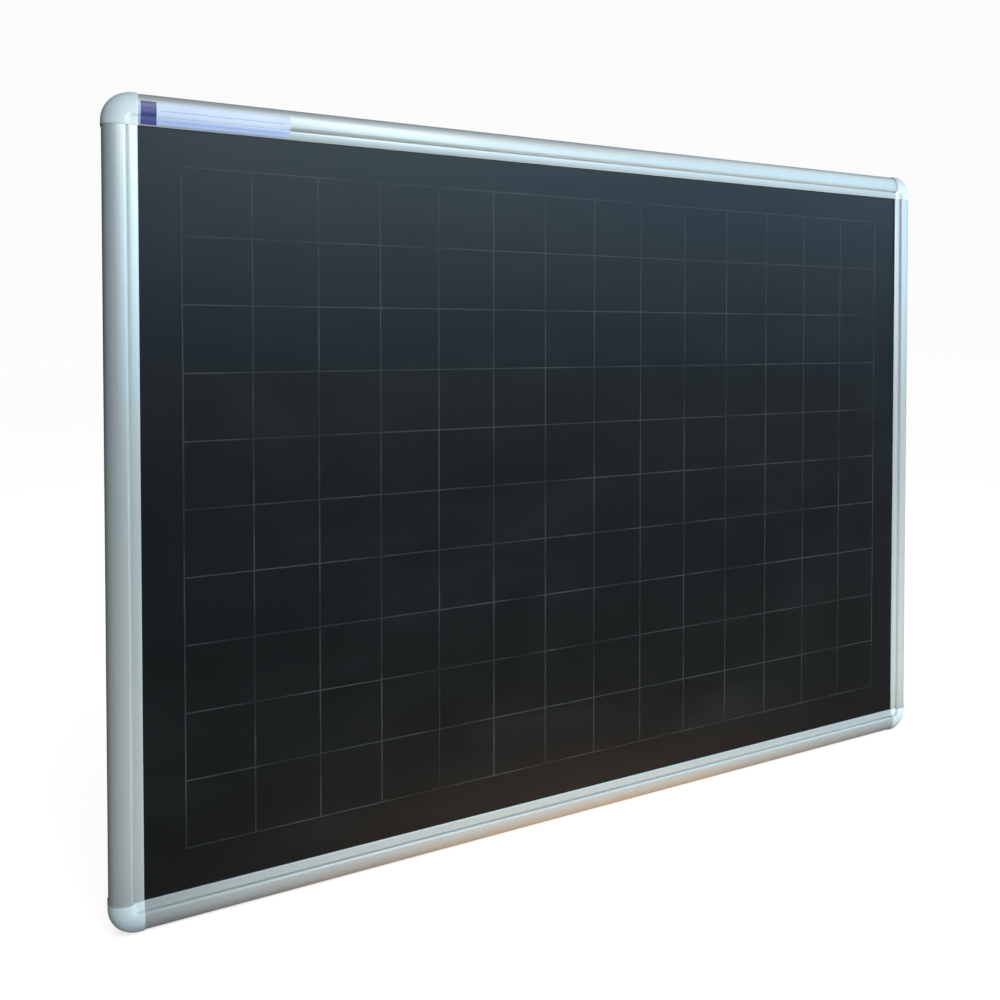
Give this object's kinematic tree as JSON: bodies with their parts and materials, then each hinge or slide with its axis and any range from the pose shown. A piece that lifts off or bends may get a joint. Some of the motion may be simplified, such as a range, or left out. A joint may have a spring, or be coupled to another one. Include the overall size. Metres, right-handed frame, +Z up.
{
  "type": "chalkboard",
  "caption": "Small wall-hung ruled chalkboard: dark steel-faced panel in an aluminium rail frame with rounded plastic corner caps and swinging wire hangers behind.",
  "frame": {"origin": "middle of the wall plane behind the board, on which the rails' feet and the caps bear", "axes": "+X to the right of someone facing the board, +Z up, +Y into the wall, so the writing side faces -Y"},
  "size_m": [0.8062, 0.0186, 0.6052],
  "materials": {
    "rail_aluminium": "satin anodised, with faint lines along the extrusion",
    "cap_plastic": "pale silver-grey, finely grained",
    "writing_surface": "near-black chalk lacquer, faintly glossy, with a printed grid of thin grey lines",
    "core_fibreboard": "raw brown fibreboard",
    "backing_steel": "galvanised, with soft spangle",
    "label_film": "pale lavender film with a plain dark band and blank rules",
    "zinc_screw": "bright zinc",
    "plated_hanger": "nickel-plated"
  },
  "bodies": {
    "board": {"bottom_rail": "rail_aluminium", "right_rail": "rail_aluminium", "top_rail": "rail_aluminium", "left_rail": "rail_aluminium", "bottom_left_cap": "cap_plastic", "bottom_right_cap": "cap_plastic", "top_right_cap": "cap_plastic", "top_left_cap": "cap_plastic", "writing_sheet": "writing_surface", "core_board": "core_fibreboard", "backing_sheet": "backing_steel", "blank_label": "label_film", "bottom_rail_first_screw": "zinc_screw", "bottom_rail_second_screw": "zinc_screw", "right_rail_first_screw": "zinc_screw", "right_rail_second_screw": "zinc_screw", "top_rail_first_screw": "zinc_screw", "top_rail_second_screw": "zinc_screw", "left_rail_first_screw": "zinc_screw", "left_rail_second_screw": "zinc_screw", "left_hanger_strap": "plated_hanger", "right_hanger_strap": "plated_hanger", "left_hanger_screw": "zinc_screw", "right_hanger_screw": "zinc_screw"},
    "left_ring": {"left_hanger_ring": "plated_hanger"},
    "right_ring": {"right_hanger_ring": "plated_hanger"}
  },
  "joints": [
    {"name": "left_ring_swing", "type": "hinge", "parent": "board", "child": "left_ring", "pos_m": [-0.28, -0.00455, 0.25], "axis": [1, 0, 0], "range_deg": [0, 180]},
    {"name": "right_ring_swing", "type": "hinge", "parent": "board", "child": "right_ring", "pos_m": [0.28, -0.00455, 0.25], "axis": [1, 0, 0], "range_deg": [0, 180]}
  ]
}
